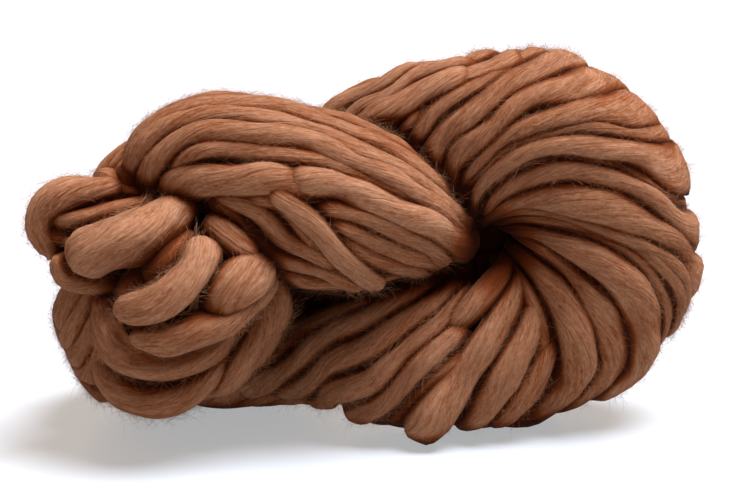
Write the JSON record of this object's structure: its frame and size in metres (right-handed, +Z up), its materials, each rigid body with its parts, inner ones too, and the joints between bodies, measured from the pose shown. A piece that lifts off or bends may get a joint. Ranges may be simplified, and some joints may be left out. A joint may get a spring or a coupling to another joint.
{
  "type": "yarn hank",
  "caption": "Twisted hank of very thick soft roving, doubled into a fat ring with an arm tucked into its eye, lying on a table.",
  "frame": {"origin": "middle of the hank's bounding box at table height", "axes": "+X along the hank's length towards its ring, +Y away from the front, +Z up"},
  "size_m": [0.2927, 0.1691, 0.1722],
  "materials": {
    "wool": "matt brown wool, softly felted"
  },
  "bodies": {
    "root": {"hank": "wool"}
  },
  "joints": []
}
